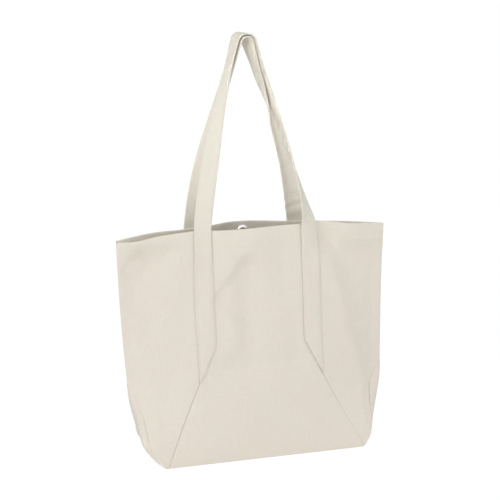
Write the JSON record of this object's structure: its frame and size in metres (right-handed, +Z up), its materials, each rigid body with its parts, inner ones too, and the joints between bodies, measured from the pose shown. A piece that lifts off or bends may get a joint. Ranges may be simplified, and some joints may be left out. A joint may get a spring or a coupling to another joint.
{
  "type": "shopping bag",
  "caption": "Open canvas tote bag with a boat-shaped bottom gusset, sewn-on strap handles gathered at the top and a hidden magnetic snap in the folded hem.",
  "frame": {"origin": "middle of the bag's flat base, on the floor", "axes": "+X across the bag to the viewer's right, +Y from the front panel to the back panel, +Z up to the handles"},
  "size_m": [0.4568, 0.154, 0.688],
  "materials": {
    "canvas": "plain-woven natural cotton canvas",
    "strap": "folded and stitched cotton canvas",
    "nickel": "bright nickel plate on pressed steel",
    "ferrite": "sintered ferrite magnet"
  },
  "bodies": {
    "bag": {"bottom_gusset": "canvas", "front_centre_panel": "canvas", "front_left_side_panel": "canvas", "front_right_side_panel": "canvas", "back_centre_panel": "canvas", "back_left_side_panel": "canvas", "back_right_side_panel": "canvas", "front_left_strap_leg": "strap", "front_right_strap_leg": "strap", "back_left_strap_leg": "strap", "back_right_strap_leg": "strap", "snap_socket_case": "nickel", "snap_socket_plate": "nickel", "snap_socket_washer": "nickel", "snap_stud": "nickel", "snap_stud_washer": "nickel", "snap_magnet": "ferrite"},
    "front_handle": {"front_handle": "strap"},
    "back_handle": {"back_handle": "strap"}
  },
  "joints": [
    {"name": "front_handle_swing", "type": "hinge", "parent": "bag", "child": "front_handle", "pos_m": [0, -0.031, 0.375], "axis": [1, 0, 0], "range_deg": [0, 160]},
    {"name": "back_handle_swing", "type": "hinge", "parent": "bag", "child": "back_handle", "pos_m": [0, 0.031, 0.375], "axis": [-1, 0, 0], "range_deg": [0, 160]}
  ]
}
